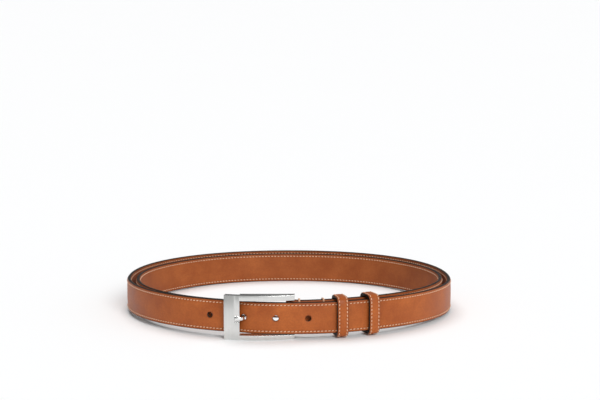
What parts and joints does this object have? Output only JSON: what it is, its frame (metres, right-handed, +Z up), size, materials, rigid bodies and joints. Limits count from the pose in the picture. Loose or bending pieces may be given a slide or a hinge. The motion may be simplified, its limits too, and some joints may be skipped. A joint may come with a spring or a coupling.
{
  "type": "leather belt",
  "caption": "Stitched leather dress belt with a metal frame buckle and leather keepers, buckled and standing on its edge as an oval coil.",
  "frame": {"origin": "middle of the whole belt's box in plan, on the floor that it stands on", "axes": "+X to the right along the front, with the buckle left of the keepers; +Y from the buckle at the front towards the back of the coil; +Z up"},
  "size_m": [0.2698, 0.2482, 0.035],
  "materials": {
    "tan_leather": "fine smooth tan grain, satin",
    "lining_leather": "smooth tan, matt",
    "filler_board": "raw fibre board, edges painted dark brown",
    "ecru_thread": "waxed twisted thread",
    "satin_steel": "satin front face, polished sides",
    "polished_steel": "polished"
  },
  "bodies": {
    "strap": {"strap_face": "tan_leather", "strap_core": "filler_board", "strap_lining": "lining_leather", "edge_thread_outer_upper": "ecru_thread", "edge_thread_outer_lower": "ecru_thread", "edge_thread_inner_upper": "ecru_thread", "edge_thread_inner_lower": "ecru_thread", "fold_tack_pin_side_upper": "ecru_thread", "fold_tack_pin_side_lower": "ecru_thread", "fold_tack_keeper_side_upper": "ecru_thread", "fold_tack_keeper_side_lower": "ecru_thread", "keeper_fixed_face": "tan_leather", "keeper_fixed_lining": "lining_leather", "keeper_fixed_staple": "polished_steel", "keeper_fixed_thread_near": "ecru_thread", "keeper_fixed_thread_far": "ecru_thread"},
    "buckle": {"buckle_frame": "satin_steel", "buckle_pin": "polished_steel"},
    "prong": {"prong": "polished_steel"},
    "sliding_keeper": {"keeper_sliding_face": "tan_leather", "keeper_sliding_lining": "lining_leather", "keeper_sliding_staple": "polished_steel", "keeper_sliding_thread_near": "ecru_thread", "keeper_sliding_thread_far": "ecru_thread"}
  },
  "joints": [
    {"name": "frame_swing", "type": "hinge", "parent": "strap", "child": "buckle", "pos_m": [0.0015, -0.11172, 0.0175], "axis": [0, 0, 1], "range_deg": [0, 2]},
    {"name": "prong_lift", "type": "hinge", "parent": "buckle", "child": "prong", "pos_m": [0.0015, -0.11172, 0.0175], "axis": [0, 0, 1], "range_deg": [0, 2]},
    {"name": "keeper_slide", "type": "slide", "parent": "strap", "child": "sliding_keeper", "axis": [0.9035, 0.4286, 0], "range_m": [-0.008, 0.008]}
  ]
}
